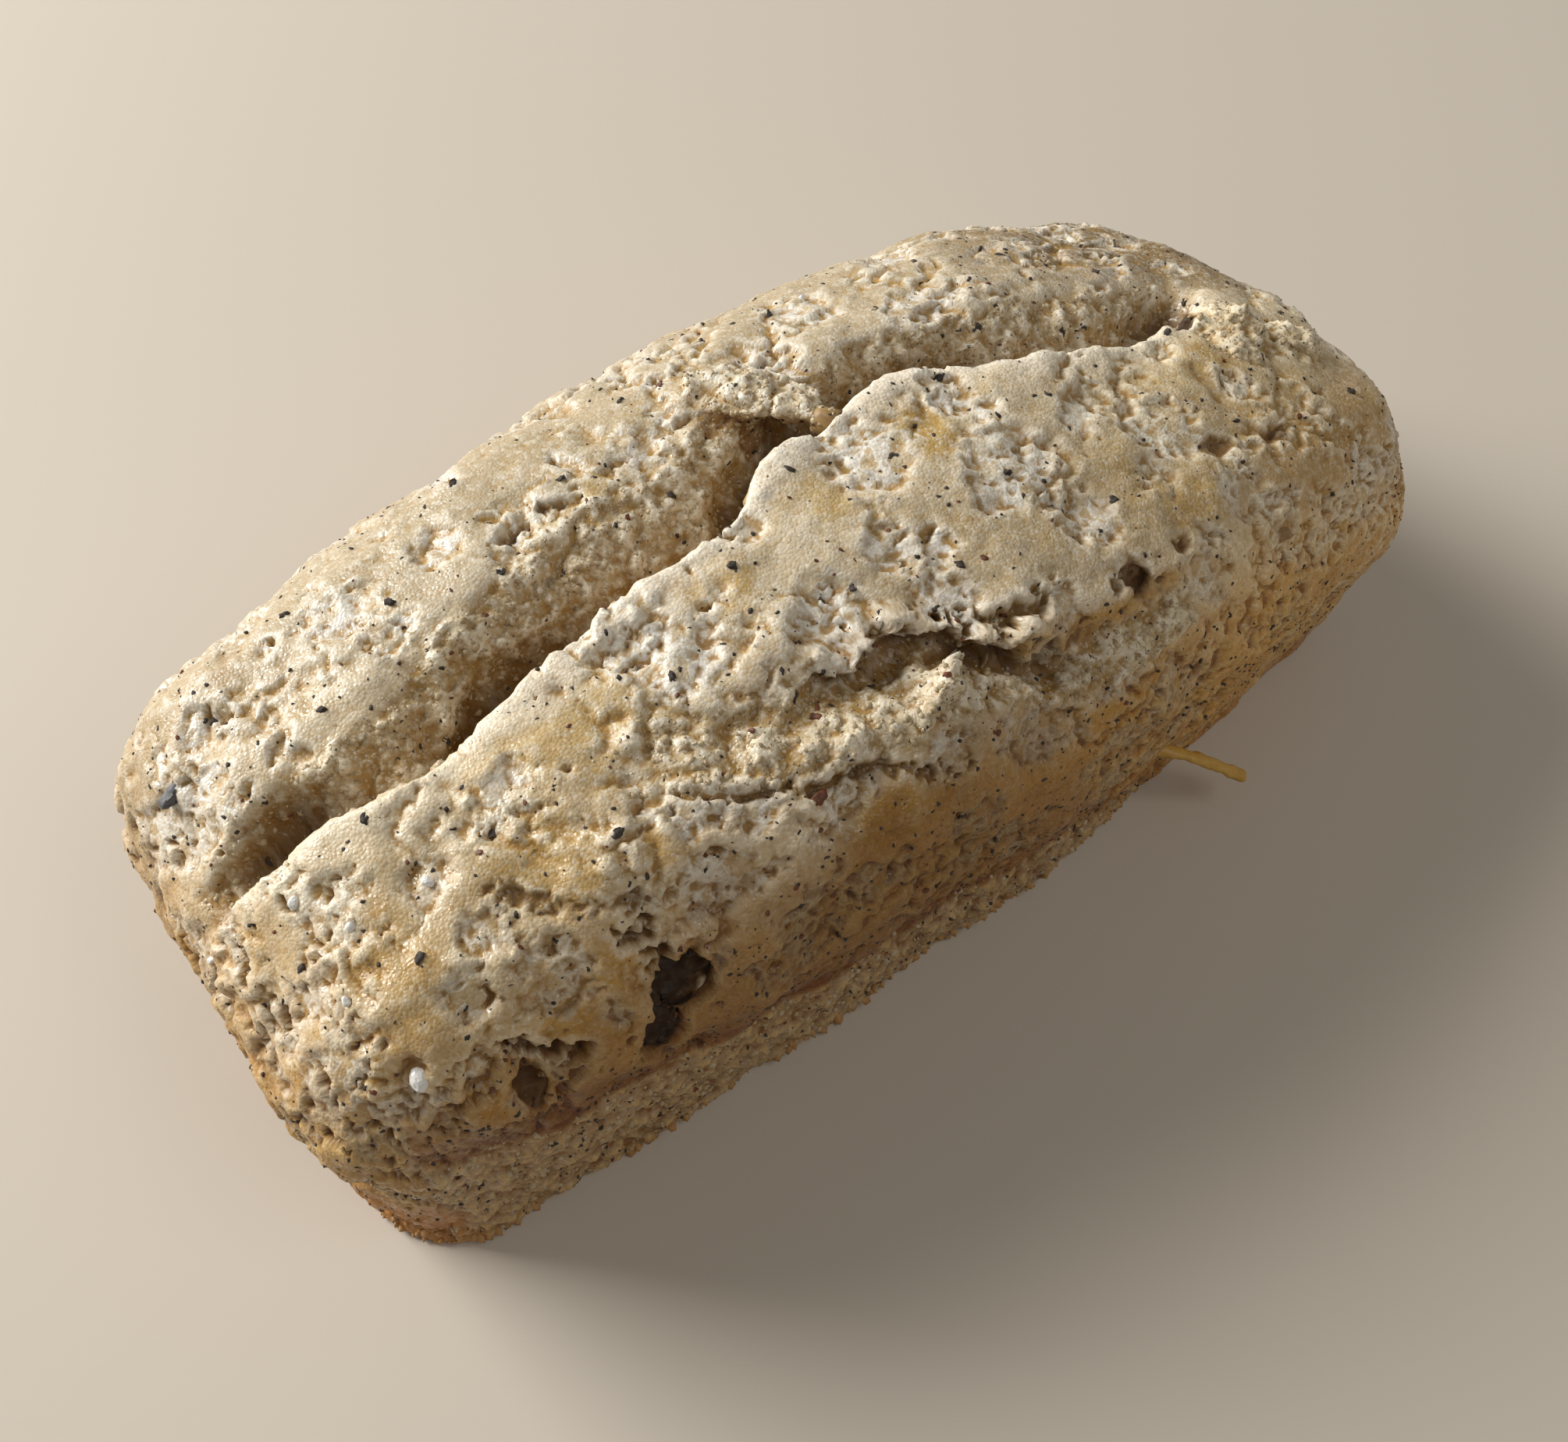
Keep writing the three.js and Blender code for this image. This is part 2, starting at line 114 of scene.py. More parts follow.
# Plates of crust that browned more, between the foam: centre and half width
GOLDEN = np.array([
    (-48.2, -27.8, 36.6, 6.0), (-68.2, -20.9, 33.1, 6.5), (-45.3, -17.8, 43.2, 5.5), (-60.0, -15.5, 40.0, 4.5),
    (-61.0, -27.0, 30.0, 6.0), (-70.0, -2.0, 34.0, 5.0), (-34.0, -22.0, 43.5, 5.0), (18.0, 0.9, 48.2, 4.0),
    (9.0, -3.5, 49.0, 3.5), (-18.0, -5.0, 48.6, 4.0), (-20.0, 14.5, 47.0, 4.0), (44.0, -8.0, 43.5, 4.5),
    (-16.0, -31.0, 38.5, 6.0), (28.0, -22.0, 43.6, 4.5), (-44.0, -8.0, 45.0, 4.0), (12.0, -33.0, 34.0, 7.0),
])

# The strip on the long wall where crust stayed in the tin: the height of its top at both ends
STRIP_FROM = (-66, 25)
STRIP_TO = (34, 3)


def along(stations, x):
    """The stations' values at x, on a smooth line through them."""
    i = np.clip(np.searchsorted(stations[:, 0], x) - 1, 1, len(stations) - 3)
    before, start, end, after = (stations[i + k] for k in (-1, 0, 1, 2))
    p = ((x - start[:, 0]) / (end[:, 0] - start[:, 0]))[:, None]
    half = (end[:, :1] - start[:, :1]) / 2
    lean_in = half / (start[:, :1] - before[:, :1])
    lean_out = half / (after[:, :1] - end[:, :1])
    shares = (
        -lean_in * p**3 + 2 * lean_in * p**2 - lean_in * p,
        (1 + lean_in) * p**3 + (-1.5 - 2 * lean_in) * p**2 + (lean_in - 0.5) * p + 1,
        (-1 - lean_out) * p**3 + (1.5 + lean_out) * p**2 + 0.5 * p,
        lean_out * p**3 - lean_out * p**2,
    )
    return sum(share * station for share, station in zip(shares, (before, start, end, after)))[:, 1:].T


def smooth(value, low, high):
    t = np.clip((value - low) / (high - low), 0, 1)
    return t * t * (3 - 2 * t)


def made_plain(piece):
    """Turns a piece's modifiers into a plain mesh."""
    graph = bpy.context.evaluated_depsgraph_get()
    mesh = bpy.data.meshes.new_from_object(piece.evaluated_get(graph), depsgraph=graph)
    piece.modifiers.clear()
    piece.data = mesh


def places_of(mesh):
    place = np.empty(len(mesh.vertices) * 3, np.float32)
    mesh.vertices.foreach_get("co", place)
    return place.reshape(-1, 3) / MM


def keep_values(mesh, name, values):
    """Stores one number for each point of a mesh under a name."""
    kept = mesh.attributes.new(name, "FLOAT", "POINT")
    kept.data.foreach_set("value", np.ascontiguousarray(values, np.float32))


class Wire:
    """A socket of a node tree. Sums written with it add Math nodes to the tree."""

    def __init__(self, tree, socket):
        self.tree, self.socket = tree, socket

    @classmethod
    def node(cls, tree, kind, settings=None, **sockets):
        made = tree.nodes.new(kind)
        for name, value in (settings or {}).items():
            setattr(made, name, value)
        for name, value in sockets.items():
            spaced = name.replace("_", " ")
            fits = [s for s in made.inputs if s.identifier == name or s.name == spaced]
            socket = next((s for s in fits if s.enabled), fits[0])
            if isinstance(value, Wire):
                tree.links.new(value.socket, socket)
            else:
                socket.default_value = value
        return cls(tree, next((s for s in made.outputs if s.enabled), None))

    def out(self, name):
        return Wire(self.tree, next(s for s in self.socket.node.outputs if s.enabled and s.name == name))

    def math(self, operation, other=0.0):
        return Wire.node(self.tree, "ShaderNodeMath", {"operation": operation}, Value=self, Value_001=other)

    def turned(self, operation, other):
        return Wire.node(self.tree, "ShaderNodeMath", {"operation": operation}, Value=other, Value_001=self)

    def __add__(self, other): return self.math("ADD", other)
    def __radd__(self, other): return self.math("ADD", other)
    def __sub__(self, other): return self.math("SUBTRACT", other)
    def __rsub__(self, other): return self.turned("SUBTRACT", other)
    def __mul__(self, other): return self.math("MULTIPLY", other)
    def __rmul__(self, other): return self.math("MULTIPLY", other)
    def __truediv__(self, other): return self.math("DIVIDE", other)
    def __rtruediv__(self, other): return self.turned("DIVIDE", other)
    def __pow__(self, other): return self.math("POWER", other)

    def most(self, other): return self.math("MAXIMUM", other)
    def least(self, other): return self.math("MINIMUM", other)

    def smooth(self, low, high):
        settings = {"interpolation_type": "SMOOTHSTEP"}
        return Wire.node(self.tree, "ShaderNodeMapRange", settings, Value=self, From_Min=low, From_Max=high)

    def vector(self, operation, other=None, **sockets):
        if other is not None:
            sockets["Vector_001"] = other
        return Wire.node(self.tree, "ShaderNodeVectorMath", {"operation": operation}, Vector=self, **sockets)

    def parts(self):
        made = Wire.node(self.tree, "ShaderNodeSeparateXYZ", Vector=self)
        return made.out("X"), made.out("Y"), made.out("Z")

    def noise(self, size, detail=1.0, seed=0.0, output="Fac"):
        """Soft lumps of about that size, from -1 to 1, or the same three ways as a vector."""
        apart = self.vector("ADD", (seed * 17.3, seed * 31.7, seed * 7.9)) if seed else self
        made = Wire.node(self.tree, "ShaderNodeTexNoise", {}, Vector=apart, Scale=1 / size, Detail=detail)
        if output == "Color":
            return made.out("Color").vector("SUBTRACT", (0.5, 0.5, 0.5))
        return made.out("Fac") * 2 - 1

    def cells(self, size, feature="F1", smoothness=0.5):
        """Cells of about that size: their distance, colour and place."""
        made = Wire.node(self.tree, "ShaderNodeTexVoronoi", {"feature": feature}, Vector=self, Scale=1 / size)
        if feature == "SMOOTH_F1":
            made.socket.node.inputs["Smoothness"].default_value = smoothness
        return made

    def blend(self, first, second):
        """A colour from first at 0 to second at 1."""
        return Wire.node(self.tree, "ShaderNodeMix", {"data_type": "RGBA"},
                         Factor_Float=self, A_Color=first, B_Color=second).out("Result")


def nodes_tree(name, sizes):
    """A Geometry Nodes tree with a mesh input and named numbers, and wires from each."""
    tree = bpy.data.node_groups.new(name, "GeometryNodeTree")
    tree.interface.new_socket("Geometry", in_out="INPUT", socket_type="NodeSocketGeometry")
    for label, value in sizes.items():
        socket = tree.interface.new_socket(label, in_out="INPUT", socket_type="NodeSocketFloat")
        socket.default_value = value
    tree.interface.new_socket("Geometry", in_out="OUTPUT", socket_type="NodeSocketGeometry")
    entry = tree.nodes.new("NodeGroupInput")
    return tree, {socket.name: Wire(tree, socket) for socket in entry.outputs if socket.name}


def run_tree(piece, tree, geometry, sizes):
    """Ends the tree in this geometry, runs it on a piece and keeps the plain mesh."""
    tree.links.new(geometry.socket, tree.nodes.new("NodeGroupOutput").inputs[0])
    modifier = piece.modifiers.new(tree.name, "NODES")
    modifier.node_group = tree
    for item in tree.interface.items_tree:
        if item.in_out == "INPUT" and item.name in sizes:
            modifier[item.identifier] = sizes[item.name]
    made_plain(piece)


def named(tree, name, kind="FLOAT"):
    return Wire.node(tree, "GeometryNodeInputNamedAttribute", {"data_type": kind}, Name=name)


def store(geometry, name, value, kind="FLOAT"):
    settings = {"data_type": kind, "domain": "POINT"}
    return Wire.node(geometry.tree, "GeometryNodeStoreNamedAttribute", settings,
                     Geometry=geometry, Name=name, Value=value)


loaf_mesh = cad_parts["loaf"].data.copy()
loaf_mesh.materials.clear()
joined = bmesh.new()
joined.from_mesh(loaf_mesh)
bmesh.ops.remove_doubles(joined, verts=joined.verts, dist=0.002 * MM)
joined.to_mesh(loaf_mesh)
joined.free()
loaf = bpy.data.objects.new("loaf_crust", loaf_mesh)
bpy.context.collection.objects.link(loaf)
fine = loaf.modifiers.new("fine_skin", "REMESH")
fine.mode = "VOXEL"
fine.voxel_size = SKIN_STEP * MM * 1
made_plain(loaf)

place = places_of(loaf.data)
x, y, z = place.T
lip, depth, slope, gap = along(SPLIT, x)
edge, sunk, reach = along(TEAR, x)
strip_top = np.interp(x, (STRIP_FROM[0], STRIP_TO[0]), (STRIP_FROM[1], STRIP_TO[1]))
on_wall = smooth(-y, 20, 26) * smooth(x, -70, -64) * (1 - smooth(x, 22, 34))


def nearest(eggs):
    """How far each point of the skin is from the nearest egg, where 1 is on its shell, and which it is."""
    gaps = np.array([np.linalg.norm((place - egg[:3]) / egg[3:6], axis=1) for egg in eggs], np.float32)
    return gaps.min(axis=0), gaps.argmin(axis=0)


def line_gap(line):
    """How far each point of the skin is from a line of places."""
    gaps = []
    for start, end in zip(np.array(line[:-1]), np.array(line[1:])):
        way = end - start
        share = np.clip((place - start) @ way / (way @ way), 0, 1)
        gaps.append(np.linalg.norm(place - start - share[:, None] * way, axis=1))
    return np.min(gaps, axis=0)


hollow_gap, hollow_index = nearest(HOLLOWS)
crack_gaps = np.array([line_gap(line) / width for width, deep, line in CRACKS])
crack_depths = np.array([deep for width, deep, line in CRACKS])
skin_values = {
    "past_lip": np.where(z > 20, y - lip, -30),
    "split_depth": depth,
    "split_slope": slope,
    "split_gap": np.clip(gap, 0, 1),
    "past_edge": np.where(z > 20, edge - y, -30),
    "tear_depth": sunk,
    "tear_reach": reach,
    "under_strip": np.where(on_wall > 0.5, strip_top - z, -30),
    "hollow_gap": hollow_gap,
    "hollow_dark": HOLLOWS[hollow_index, 6],
    "crag_gap": nearest(CRAGS)[0],
    "foam_gap": nearest(FOAM)[0],
    "golden_gap": nearest(GOLDEN)[0],
    "overhung": smooth(x, -20, -14) * (1 - smooth(x, 4, 10)),
    "crack_gap": crack_gaps.min(axis=0),
    "crack_depth": crack_depths[crack_gaps.argmin(axis=0)],
}
for name, values in skin_values.items():
    keep_values(loaf.data, name, values)

relief_sizes = {
    "Pillow size": 8.0, "Pillow height": 0.9, "Plate size": 6.5, "Plate height": 0.5, "Lump height": 0.4,
    "Near end lumps": 0.6, "Fold size": 6.5, "Fold depth": 0.7,
    "Bubble size": 1.5, "Crater depth": 0.16, "Wall height": 0.1,
    "Pit size": 2.6, "Pit depth": 0.8, "Clump size": 3.4, "Clump height": 1.5, "Crumb height": 1.0,
    "Crevice depth": 3.4, "Undercut": 1.8, "Overhang": 1.2,
}
tree, size = nodes_tree("crust_relief", relief_sizes)
geometry = size["Geometry"]
place_now = Wire.node(tree, "GeometryNodeInputPosition")
held = (1 - named(tree, "hollow_gap").smooth(0.9, 1.3)) * named(tree, "hollow_dark") * 0.5
smoothed = Wire.node(tree, "GeometryNodeBlurAttribute", {"data_type": "FLOAT_VECTOR"},
                     Value=place_now, Iterations=14, Weight=1 - held)
geometry = Wire.node(tree, "GeometryNodeSetPosition", Geometry=geometry, Position=smoothed)
geometry = store(geometry, "rest", place_now.vector("SCALE", Scale=1 / MM), "FLOAT_VECTOR")
at = named(tree, "rest", "FLOAT_VECTOR")
normal = Wire.node(tree, "GeometryNodeInputNormal")
wander = at.noise(3.2, detail=3)
frayed = at.noise(1.5, detail=3, seed=12.0)
ragged = at.vector("ADD", at.noise(2.2, detail=3, seed=7.0, output="Color").vector("SCALE", Scale=3.2))

# Torn faces: the split's slope, the flank's tear, the bare strip and the crags
past_lip = named(tree, "past_lip") + wander * 1.2 + frayed * 0.4
split_slope = named(tree, "split_slope") * (0.85 + wander * 0.3)
split_deep = named(tree, "split_depth").smooth(0.8, 2.6)
split = past_lip.smooth(0.1, 0.7) * (1 - past_lip.smooth(split_slope * 0.85, split_slope)) * split_deep
past_edge = named(tree, "past_edge") + wander * 1.5 + frayed * 1.2
tear_reach = named(tree, "tear_reach") * (1 + wander * 0.3)
tear_deep = named(tree, "tear_depth").smooth(0.3, 1.3)
tear = past_edge.smooth(0.0, 0.6) * (1 - past_edge.smooth(tear_reach * 0.85, tear_reach * 1.05)) * tear_deep
strip = (named(tree, "under_strip") + wander * 1.8).smooth(-0.2, 0.6)
crag = 1 - (named(tree, "crag_gap") + wander * 0.3).smooth(0.9, 1.2)
torn = split.most(tear).most(strip).most(crag)
split_gap = named(tree, "split_gap")
crevice_width = 2.2 + split_gap * 2.8 + at.noise(9.0, seed=16.0) * 1.4
crevice = past_lip.smooth(-0.5, 1.5) * (1 - past_lip.smooth(crevice_width * 0.5, crevice_width * 1.4))
crevice = crevice * split_deep * (1 - crag) * split_gap
undercut = past_edge.smooth(0.1, 0.7) * (1 - past_edge.smooth(1.2, 3.8)) * named(tree, "overhung")
crack = 1 - (named(tree, "crack_gap") + frayed * 2.4 + wander * 0.8).smooth(0.1, 1.0)
hollow_dark = named(tree, "hollow_dark")
hollow = 1 - (named(tree, "hollow_gap") + frayed * 0.7 + wander * 0.4 - hollow_dark * 0.2).smooth(0.95, 1.2)

# Skin: ragged plates of crust, and between them sunken foam whose bubbles are whole or burst
steep = 1 - normal.parts()[2].smooth(0.5, 0.9)
near_end = 1 - at.parts()[0].smooth(-66.0, -48.0)
strewn = ragged.noise(size["Plate size"], detail=4, seed=3.0) + 0.17 - steep * 0.1 - near_end * 0.06
strewn = 1 - strewn.smooth(-0.06, 0.04)
patch = 1 - (named(tree, "foam_gap") + frayed * 0.6 + wander * 0.5).smooth(0.8, 1.1)
foam = patch.most(strewn) * (1 - torn) * (1 - hollow)
popped, drawn, _ = ragged.cells(size["Bubble size"]).out("Color").parts()
to_wall = ragged.cells(size["Bubble size"], "DISTANCE_TO_EDGE").out("Distance") * size["Bubble size"]
cell_wall = 1 - to_wall.smooth(0.08, 0.4)
pit = ragged.noise(size["Pit size"], detail=4, seed=22.0) + foam * 0.08 + near_end * 0.1
pit = pit.smooth(0.35, 0.48) * (1 - torn)
leaf_gap = ragged.cells(3.2).out("Distance") * 3.2
leaf_drawn = (ragged.cells(3.2).out("Color").parts()[1] + steep * 0.3).smooth(0.5, 0.55)
low = 1 - at.parts()[2].smooth(1.0, 3.5)
corner = low * (1 - at.parts()[0].smooth(-66.0, -58.0)) * (1 - at.parts()[1].smooth(-20.0, -10.0))
kept_marks = {
    "on_torn": torn, "on_pit": pit, "on_foam": foam, "on_hollow": hollow,
    "on_lip": past_lip.smooth(-6.0, -1.0) * (1 - past_lip.smooth(0.0, 0.5)) * split_deep,
    "on_crevice": crevice.most(crack * 0.8).most(undercut * 0.8), "on_crag": crag,
    "lean": normal.parts()[2],
    "off_base": at.parts()[2].smooth(0.2, 2.0), "on_fringe": (strip * low).most(corner),
    "sunk_leaf": (1 - leaf_gap.smooth(0.2, 0.75)) * leaf_drawn,
    "pillow": 0.45 - at.cells(size["Pillow size"], "SMOOTH_F1", 0.4).out("Distance"),
    "mottle": at.noise(4.0, detail=3, seed=6.0), "patchy": at.noise(15.0, detail=2, seed=9.0),
    "clump": 0.45 - ragged.cells(size["Clump size"], "SMOOTH_F1", 0.25).out("Distance"),
}
for name, value in kept_marks.items():
    geometry = store(geometry, name, value)
geometry = store(geometry, "ragged", ragged, "FLOAT_VECTOR")
torn, pit, foam, hollow = (named(tree, name) for name in ("on_torn", "on_pit", "on_foam", "on_hollow"))

fold = 1 - ragged.noise(size["Fold size"], detail=3, seed=13.0).math("ABSOLUTE").smooth(0.0, 0.16)
fold = fold * at.noise(12.0, seed=19.0).smooth(-0.1, 0.25)
skin = named(tree, "pillow") * size["Pillow height"] + at.noise(10.0, seed=1.0) * 0.6
skin = skin - fold * size["Fold depth"] + at.noise(1.8, detail=3, seed=2.0) * size["Lump height"]
skin = skin - foam * size["Plate height"] - pit * size["Pit depth"]
skin = skin + at.noise(4.5, detail=2, seed=29.0) * size["Near end lumps"] * near_end
burst = popped.smooth(0.4, 0.5) * (1 - cell_wall)
bubbles = cell_wall * size["Wall height"] - burst * size["Crater depth"]
skin = skin + foam * (bubbles * drawn.smooth(0.2, 0.3) + at.noise(2.4, detail=3, seed=8.0) * 0.35)
crumb = named(tree, "clump") * size["Clump height"]
crumb = crumb + ragged.noise(1.9, detail=3, seed=5.0) * size["Crumb height"]
crumb = crumb + at.noise(0.9, detail=1, seed=24.0) * 0.45
rise = skin * (1 - torn) + crumb * torn - hollow * hollow_dark * (1.0 + wander * 1.5 + frayed * 1.5)
rise = rise - crevice * size["Crevice depth"] - undercut * size["Undercut"] - crack * named(tree, "crack_depth")
over_edge = past_edge.smooth(-3.0, -0.3) * (1 - past_edge.smooth(0.0, 0.5)) * named(tree, "overhung")
lean_out = Wire.node(tree, "ShaderNodeCombineXYZ", Y=over_edge * size["Overhang"] * -1, Z=over_edge * 0.3)
offset = normal.vector("SCALE", Scale=rise).vector("ADD", lean_out)
offset = offset.vector("SCALE", Scale=named(tree, "off_base") * MM)
geometry = Wire.node(tree, "GeometryNodeSetPosition", Geometry=geometry, Offset=offset)

# How far each point lies under the mean of its neighbours, for the crust's painted light: painted shade in
# crevices, a painted highlight on thin edges
for name, rounds in (("cavity", 7), ("deep", 60)):
    around = Wire.node(tree, "GeometryNodeBlurAttribute", {"data_type": "FLOAT_VECTOR"},
                       Value=place_now, Iterations=rounds)
    under = around.vector("SUBTRACT", place_now).vector("DOT_PRODUCT", normal).out("Value") / MM
    geometry = store(geometry, name, under)
geometry = Wire.node(tree, "GeometryNodeSetShadeSmooth", Geometry=geometry)
run_tree(loaf, tree, geometry, relief_sizes)

# The underside is flat, so its many small faces become one
flat = bmesh.new()
flat.from_mesh(loaf.data)
underside = [face for face in flat.faces if all(v.co.z < 0.15 * MM for v in face.verts)]
bmesh.ops.delete(flat, geom=underside, context="FACES")
for vert in flat.verts:
    if vert.is_boundary or vert.co.z < 0:
        vert.co.z = 0
bmesh.ops.triangle_fill(flat, edges=[e for e in flat.edges if e.is_boundary], use_beauty=True)
bmesh.ops.recalc_face_normals(flat, faces=flat.faces)
bmesh.ops.triangulate(flat, faces=flat.faces)
count = len(flat.faces)
flat.to_mesh(loaf.data)
flat.free()
if count > SKIN_TRIANGLES:
    thin = loaf.modifiers.new("thin_out", "DECIMATE")
    thin.ratio = SKIN_TRIANGLES / count
    made_plain(loaf)

crust = bpy.data.materials.new("tea_loaf_crust")
crust.use_nodes = True
tree = crust.node_tree
shader = tree.nodes["Principled BSDF"]


def painted(name, output="Fac"):
    return Wire.node(tree, "ShaderNodeAttribute", {"attribute_name": name}).out(output)


at = painted("rest", "Vector")
torn, pit, foam, hollow = (painted(name) for name in ("on_torn", "on_pit", "on_foam", "on_hollow"))
cavity = painted("cavity")
from_near_end, across, height = at.parts()
mottle, patchy = painted("mottle"), painted("patchy")
grain = at.cells(0.33)
glint, pale_draw, tone = grain.out("Color").parts()

# Top pale, walls browned by the tin, the far side and the far end less so
# Partly painted light: the shaded long flank is painted browner for warm bounced light, the lit far side paler
browned = 1 - (painted("lean") + mottle * 0.25).smooth(0.05, 0.98)
browned = (browned + (1 - across.smooth(-26.0, -4.0)) * 0.2).least(1.0)
browned = browned * (1 - across.smooth(4.0, 30.0) * 0.4) * (1 - from_near_end.smooth(36.0, 58.0) * 0.45)
wall = (1 - (height + mottle * 4).smooth(14.0, 36.0)) * (1 - across.smooth(-12.0, 12.0) * 0.6)
tin_side = (across + mottle * 3).smooth(26.0, 32.0).most((from_near_end + mottle * 3).smooth(65.0, 71.0))
tin_side = tin_side * (1 - (height + mottle * 5).smooth(20.0, 34.0))
wall = wall.most(tin_side * 0.8)
golden = (patchy * 1.1 + mottle * 0.6).smooth(-0.05, 0.4) * 0.75
golden = golden.most(1 - (painted("golden_gap") + mottle * 0.6).smooth(0.6, 1.2)) * (1 - foam * 0.6)
skin_colour = browned.blend((0.76, 0.66, 0.485, 1), (0.55, 0.32, 0.09, 1))
gold = browned.blend((0.60, 0.395, 0.115, 1), (0.52, 0.26, 0.04, 1))
skin_colour = (golden * 0.95).blend(skin_colour, gold)
# Painted shade: the far side, which faces the light, is dulled towards a darker tan
far_side_shade = across.smooth(3.0, 16.0) * (0.75 + mottle * 0.5)
skin_colour = far_side_shade.blend(skin_colour, (0.45, 0.365, 0.235, 1))
# Painted shade over the right of the dome's top, where the light falls off
right_dome_shade = (1 - across.smooth(-15.0, -4.0)) * painted("lean").smooth(0.75, 0.95)
skin_colour = (right_dome_shade * 0.5).blend(skin_colour, (0.46, 0.36, 0.21, 1))
baked_wall = wall * (0.88 - from_near_end.smooth(0.0, 36.0) * 0.62)
skin_colour = baked_wall.blend(skin_colour, (0.32, 0.125, 0.015, 1))
far_rim = (across + from_near_end.smooth(46.0, 60.0) * 10).smooth(4.0, 14.0) * from_near_end.smooth(28.0, 46.0)
skin_colour = (far_rim * 0.95).blend(skin_colour, (0.23, 0.15, 0.06, 1))
far_gold = from_near_end.smooth(28.0, 46.0) * (1 - across.smooth(-24.0, -12.0))
skin_colour = (far_gold * 0.7).blend(skin_colour, (0.46, 0.26, 0.065, 1))
skin_colour = (tin_side * 0.8).blend(skin_colour, (0.50, 0.28, 0.07, 1))
# Painted shade over the top of the far half, where the light falls off
far_dome_shade = from_near_end.smooth(-12.0, 4.0) * (1 - across.smooth(-2.0, 6.0))
far_dome_shade = far_dome_shade * painted("lean").smooth(0.7, 0.95)
skin_colour = (far_dome_shade * 0.25).blend(skin_colour, (0.44, 0.34, 0.19, 1))
near_corner = (1 - from_near_end.smooth(-70.0, -60.0)) * (1 - across.smooth(-20.0, -8.0))
near_corner = (near_corner * 0.65).most((1 - from_near_end.smooth(-62.0, -46.0)) * 0.2)
skin_colour = near_corner.blend(skin_colour, (0.44, 0.26, 0.07, 1))

# Foam: bubbles packed side by side, greyish or whitish films between thick pale walls
ragged = painted("ragged", "Vector")
bubble = relief_sizes["Bubble size"]
_, drawn, whitish = ragged.cells(bubble).out("Color").parts()
to_wall = ragged.cells(bubble, "DISTANCE_TO_EDGE").out("Distance") * bubble
cell_wall = 1 - to_wall.smooth(0.05, 0.34)
shown = foam * drawn.smooth(0.2, 0.3)
foam_browned = browned.most(wall)
film = whitish.smooth(0.3, 0.7).blend((0.55, 0.48, 0.35, 1), (0.86, 0.84, 0.77, 1))
foam_colour = foam_browned.blend((0.70, 0.60, 0.43, 1), (0.40, 0.24, 0.08, 1))
wall_colour = foam_browned.blend((0.90, 0.885, 0.83, 1), (0.54, 0.41, 0.235, 1))
skin_colour = (foam * 0.5).blend(skin_colour, foam_colour)
skin_colour = (shown * 0.75).blend(skin_colour, foam_browned.blend(film, (0.33, 0.22, 0.115, 1)))
skin_colour = (shown * cell_wall * 0.8).blend(skin_colour, wall_colour)
skin_colour = (painted("on_lip") * 0.8).blend(skin_colour, (0.96, 0.89, 0.75, 1))

# Torn crumb, darker low between the clumps as painted shade, the strip's browner than the rest
clump_top = (painted("clump") + mottle * 0.3).smooth(-0.35, 0.3)
crumb_colour = clump_top.blend((0.42, 0.28, 0.11, 1), (0.77, 0.68, 0.49, 1))
low_down = 1 - height.smooth(20.0, 30.0)
crumb_colour = (low_down * 0.85).blend(crumb_colour, (0.34, 0.21, 0.10, 1))
crumb_colour = (painted("on_crag") * (0.55 + mottle * 0.5)).blend(crumb_colour, (0.86, 0.79, 0.62, 1))
colour = torn.blend(skin_colour, crumb_colour)

# Painted light: edges painted pale as a highlight, partly the crust's thin pale rims; crevices, pits, pinholes
# and cracks painted brown and dark as shade
pinhole_shade = at.noise(0.9, detail=2, seed=14.0).smooth(0.32, 0.5)
pale_rim_and_highlight = browned.most(wall).blend((0.90, 0.85, 0.73, 1), (0.60, 0.40, 0.16, 1))
amber = browned.most(wall).blend((0.43, 0.25, 0.065, 1), (0.22, 0.085, 0.011, 1))
# Painted highlight on convex edges, then painted amber shade in recesses, pinholes and pits
colour = ((0 - cavity).smooth(0.01, 0.18) * 0.7).blend(colour, pale_rim_and_highlight)
colour = (cavity.smooth(-0.01, 0.18).most(pinhole_shade * 0.7).most(pit) * 0.88).blend(colour, amber)
colour = (tone.smooth(0.3, 1.0) * 0.3).blend(colour, amber)
# Pale grains, partly the crust's own whitish grain, partly painted glints
pale_grain_and_glint = pale_draw.smooth(0.7, 0.95) * (0.35 - browned.most(wall) * 0.28)
colour = pale_grain_and_glint.blend(colour, (0.94, 0.89, 0.78, 1))
foot = (1 - height.smooth(1.0, 7.0) - mottle * 0.4) * 0.75 * (1 - torn)
colour = foot.blend(colour, (0.36, 0.145, 0.026, 1))
corner = 1 - (from_near_end + mottle * 4).smooth(-69.0, -62.0)
corner = corner * (1 - (across + mottle * 4).smooth(-20.0, -13.0))
corner = corner * (1 - (height + mottle * 4).smooth(8.0, 15.0))
colour = (corner * 0.9).blend(colour, (0.42, 0.165, 0.02, 1))
shaded = (1 - from_near_end.smooth(-14.0, 20.0)) * (1 - (across + mottle * 3).smooth(-32.0, -26.0))
shaded = shaded * (1 - torn)
colour = shaded.blend(colour, colour.vector("MULTIPLY", (0.62, 0.55, 0.45)))
